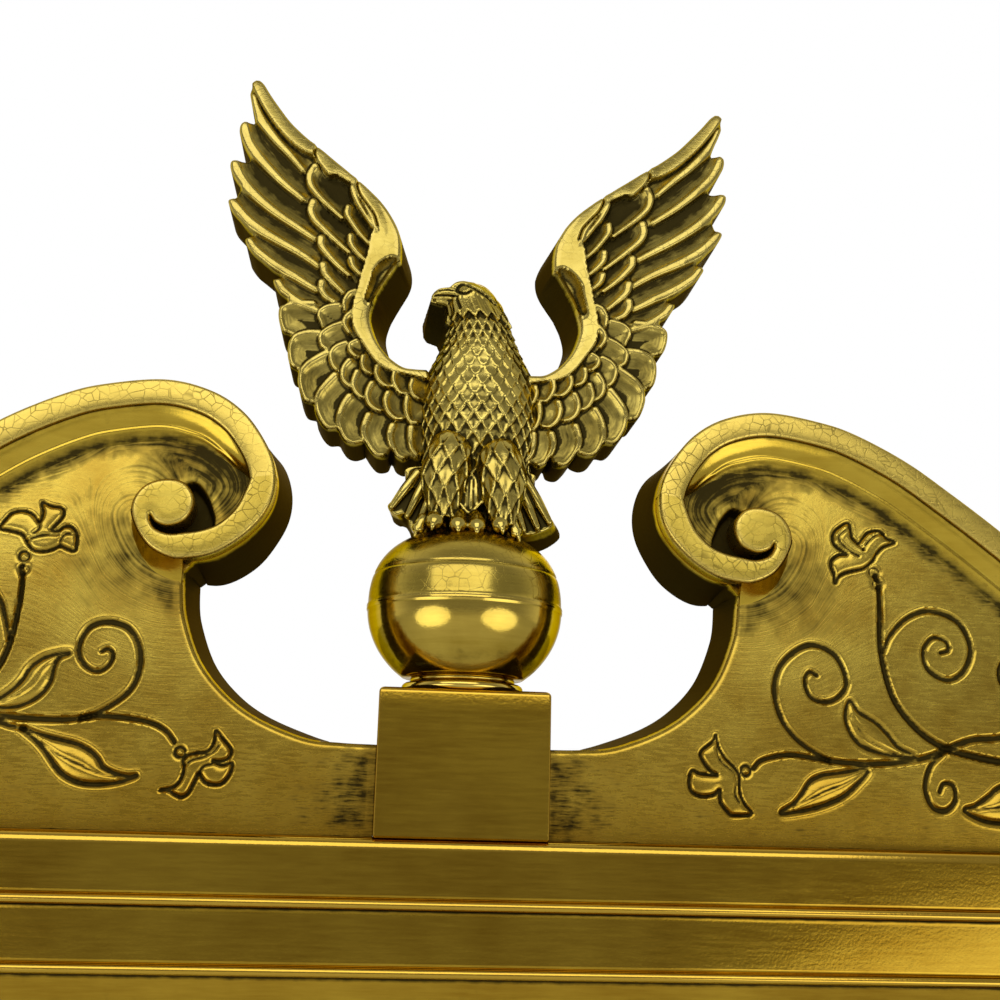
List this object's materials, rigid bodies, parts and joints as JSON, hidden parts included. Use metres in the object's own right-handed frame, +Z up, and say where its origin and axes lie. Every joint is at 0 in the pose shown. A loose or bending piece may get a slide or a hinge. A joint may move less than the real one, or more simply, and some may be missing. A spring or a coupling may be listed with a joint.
{
  "type": "wall mirror",
  "caption": "Rectangular wall mirror in a stepped gilt frame, with a scrolled crest carrying an eagle on a ball; hangs from rings on its back.",
  "frame": {"origin": "on the wall plane, midway between the pivots of the two hanging rings", "axes": "+Z up, +Y into the wall, so the front faces -Y; +X to the viewer's right"},
  "size_m": [0.4, 0.0471, 0.7214],
  "materials": {
    "gilt_wood": "aged gold leaf with fine crackle, lacquered",
    "gilt_casting": "gilt composition, dark in the hollows",
    "mirror": "silvered glass",
    "hardboard": "brown hardboard",
    "zinc_steel": "zinc plated",
    "brass": "stamped brass",
    "felt": "felt pad",
    "dowel": "beech dowel"
  },
  "bodies": {
    "frame": {"top_rail": "gilt_wood", "bottom_rail": "gilt_wood", "left_stile": "gilt_wood", "right_stile": "gilt_wood", "crest_board_left": "gilt_wood", "crest_board_right": "gilt_wood", "swan_neck_left": "gilt_wood", "swan_neck_right": "gilt_wood", "plinth_block": "gilt_wood", "ball_neck": "gilt_casting", "ball_lower": "gilt_casting", "ball_upper": "gilt_casting", "eagle_body": "gilt_casting", "eagle_wing_left": "gilt_casting", "eagle_wing_right": "gilt_casting", "corner_plates": "zinc_steel", "corner_screws": "zinc_steel", "hanger_strap_left": "zinc_steel", "hanger_strap_right": "zinc_steel", "hanger_screws": "zinc_steel", "crest_strap_left": "zinc_steel", "crest_strap_right": "zinc_steel", "crest_screws": "zinc_steel", "finial_stud": "zinc_steel", "turn_button_screws": "zinc_steel", "mirror_glass": "mirror", "backing_board": "hardboard", "wall_bumpers": "felt", "wing_pins": "dowel"},
    "turn_button_1": {"turn_button_1": "brass"},
    "turn_button_2": {"turn_button_2": "brass"},
    "turn_button_3": {"turn_button_3": "brass"},
    "turn_button_4": {"turn_button_4": "brass"},
    "turn_button_5": {"turn_button_5": "brass"},
    "turn_button_6": {"turn_button_6": "brass"},
    "ring_left": {"d_ring_left": "zinc_steel"},
    "ring_right": {"d_ring_right": "zinc_steel"}
  },
  "joints": [
    {"name": "turn_button_1_turn", "type": "hinge", "parent": "frame", "child": "turn_button_1", "pos_m": [0, -0.0052, 0.077], "axis": [0, 1, 0], "range_deg": [-90, 90]},
    {"name": "turn_button_2_turn", "type": "hinge", "parent": "frame", "child": "turn_button_2", "pos_m": [0.167, -0.0052, -0.05], "axis": [0, 1, 0], "range_deg": [-90, 90]},
    {"name": "turn_button_3_turn", "type": "hinge", "parent": "frame", "child": "turn_button_3", "pos_m": [0.167, -0.0052, -0.25], "axis": [0, 1, 0], "range_deg": [-90, 90]},
    {"name": "turn_button_4_turn", "type": "hinge", "parent": "frame", "child": "turn_button_4", "pos_m": [0, -0.0052, -0.377], "axis": [0, 1, 0], "range_deg": [-90, 90]},
    {"name": "turn_button_5_turn", "type": "hinge", "parent": "frame", "child": "turn_button_5", "pos_m": [-0.167, -0.0052, -0.25], "axis": [0, 1, 0], "range_deg": [-90, 90]},
    {"name": "turn_button_6_turn", "type": "hinge", "parent": "frame", "child": "turn_button_6", "pos_m": [-0.167, -0.0052, -0.05], "axis": [0, 1, 0], "range_deg": [-90, 90]},
    {"name": "ring_left_swing", "type": "hinge", "parent": "frame", "child": "ring_left", "pos_m": [-0.181, -0.00322, 0], "axis": [1, 0, 0], "range_deg": [0, 180]},
    {"name": "ring_right_swing", "type": "hinge", "parent": "frame", "child": "ring_right", "pos_m": [0.181, -0.00322, 0], "axis": [1, 0, 0], "range_deg": [0, 180]}
  ]
}
